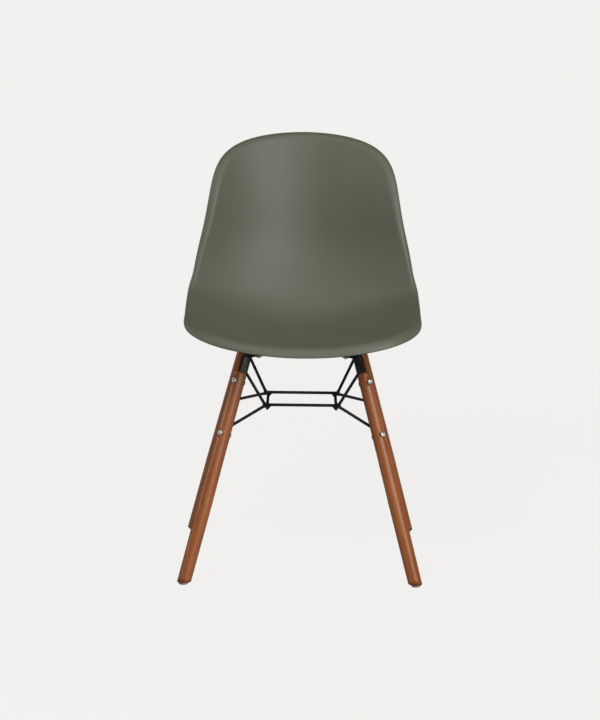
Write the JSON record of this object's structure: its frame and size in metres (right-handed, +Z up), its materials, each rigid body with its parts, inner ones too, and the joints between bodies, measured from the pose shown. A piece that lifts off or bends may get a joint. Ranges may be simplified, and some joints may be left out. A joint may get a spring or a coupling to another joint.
{
  "type": "moulded shell chair",
  "caption": "Armless dining chair: moulded plastic bucket shell on splayed round wooden legs held by bent steel bars and a welded rod frame",
  "frame": {"origin": "on the floor under the middle of the chair's outer box", "axes": "+X to the viewer's right as one faces the chair, +Y toward the backrest, +Z up"},
  "size_m": [0.4736, 0.5203, 0.8354],
  "materials": {
    "shell_plastic": "satin olive green-grey moulded plastic",
    "stained_wood": "walnut stained beech with satin varnish",
    "black_steel": "satin black powder coat",
    "zinc_plated": "bright zinc plate",
    "brass": "plain",
    "rubber_pad": "plain",
    "glide_plastic": "translucent pale grey plastic"
  },
  "bodies": {
    "root": {"seat_shell": "shell_plastic", "shell_inserts": "brass", "mount_pads": "rubber_pad", "seat_screws": "zinc_plated", "seat_washers": "zinc_plated", "leg_front_right": "stained_wood", "leg_rear_right": "stained_wood", "leg_rear_left": "stained_wood", "leg_front_left": "stained_wood", "bracket_front_right": "black_steel", "bracket_rear_right": "black_steel", "bracket_rear_left": "black_steel", "bracket_front_left": "black_steel", "upper_brace_front_right": "black_steel", "lower_brace_front_right": "black_steel", "gusset_front_right": "black_steel", "upper_brace_rear_right": "black_steel", "lower_brace_rear_right": "black_steel", "gusset_rear_right": "black_steel", "upper_brace_rear_left": "black_steel", "lower_brace_rear_left": "black_steel", "gusset_rear_left": "black_steel", "upper_brace_front_left": "black_steel", "lower_brace_front_left": "black_steel", "gusset_front_left": "black_steel", "cross_bar_front": "black_steel", "cross_bar_rear": "black_steel", "side_bar_left": "black_steel", "side_bar_right": "black_steel", "leg_bolts": "zinc_plated", "weld_nuts": "black_steel", "glide_front_right": "glide_plastic", "glide_rear_right": "glide_plastic", "glide_rear_left": "glide_plastic", "glide_front_left": "glide_plastic", "glide_nails": "zinc_plated"}
  },
  "joints": []
}
